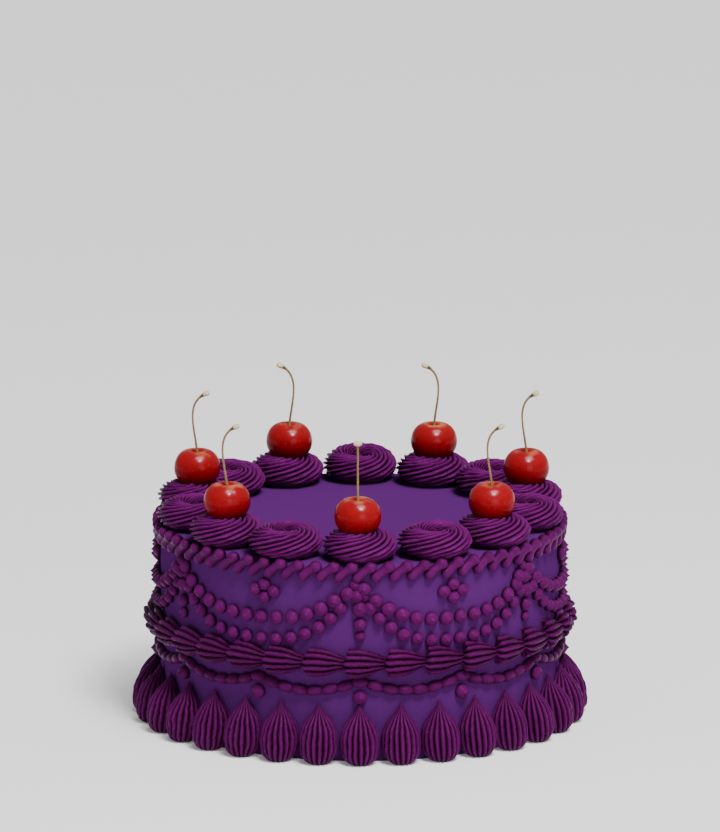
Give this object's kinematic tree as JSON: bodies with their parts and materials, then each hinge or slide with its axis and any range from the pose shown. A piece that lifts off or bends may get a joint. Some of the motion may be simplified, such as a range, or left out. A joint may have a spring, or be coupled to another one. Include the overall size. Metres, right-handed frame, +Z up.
{
  "type": "cherry cake",
  "caption": "Tall round cake in violet buttercream with piped rosettes, swags, shells and base drops, and cherries with long stalks on top.",
  "frame": {"origin": "centre of the flat underside of the cake, on the surface it stands on", "axes": "+Z up through the middle of the cake; -Y is the front, where one cherry stands over a joint of the swags; +X is to the right seen from the front"},
  "size_m": [0.2328, 0.2328, 0.1651],
  "materials": {
    "icing_smooth": "smooth violet buttercream, satin",
    "icing_piped": "piped purple buttercream, satin",
    "cherry_skin": "wet red fruit skin, glossy"
  },
  "bodies": {
    "root": {"cake_body": "icing_smooth", "shell_border": "icing_piped", "rosette_01": "icing_piped", "rosette_02": "icing_piped", "rosette_03": "icing_piped", "rosette_04": "icing_piped", "rosette_05": "icing_piped", "rosette_06": "icing_piped", "rosette_07": "icing_piped", "rosette_08": "icing_piped", "rosette_09": "icing_piped", "rosette_10": "icing_piped", "rosette_11": "icing_piped", "rosette_12": "icing_piped", "rosette_13": "icing_piped", "rosette_14": "icing_piped", "drop_01": "icing_piped", "drop_02": "icing_piped", "drop_03": "icing_piped", "drop_04": "icing_piped", "drop_05": "icing_piped", "drop_06": "icing_piped", "drop_07": "icing_piped", "drop_08": "icing_piped", "drop_09": "icing_piped", "drop_10": "icing_piped", "drop_11": "icing_piped", "drop_12": "icing_piped", "drop_13": "icing_piped", "drop_14": "icing_piped", "drop_15": "icing_piped", "drop_16": "icing_piped", "drop_17": "icing_piped", "drop_18": "icing_piped", "drop_19": "icing_piped", "drop_20": "icing_piped", "drop_21": "icing_piped", "drop_22": "icing_piped", "drop_23": "icing_piped", "drop_24": "icing_piped", "drop_25": "icing_piped", "drop_26": "icing_piped", "drop_27": "icing_piped", "drop_28": "icing_piped", "drop_29": "icing_piped", "drop_30": "icing_piped", "drop_31": "icing_piped", "drop_32": "icing_piped", "cherry_1": "cherry_skin", "cherry_2": "cherry_skin", "cherry_3": "cherry_skin", "cherry_4": "cherry_skin", "cherry_5": "cherry_skin", "cherry_6": "cherry_skin", "cherry_7": "cherry_skin"}
  },
  "joints": []
}
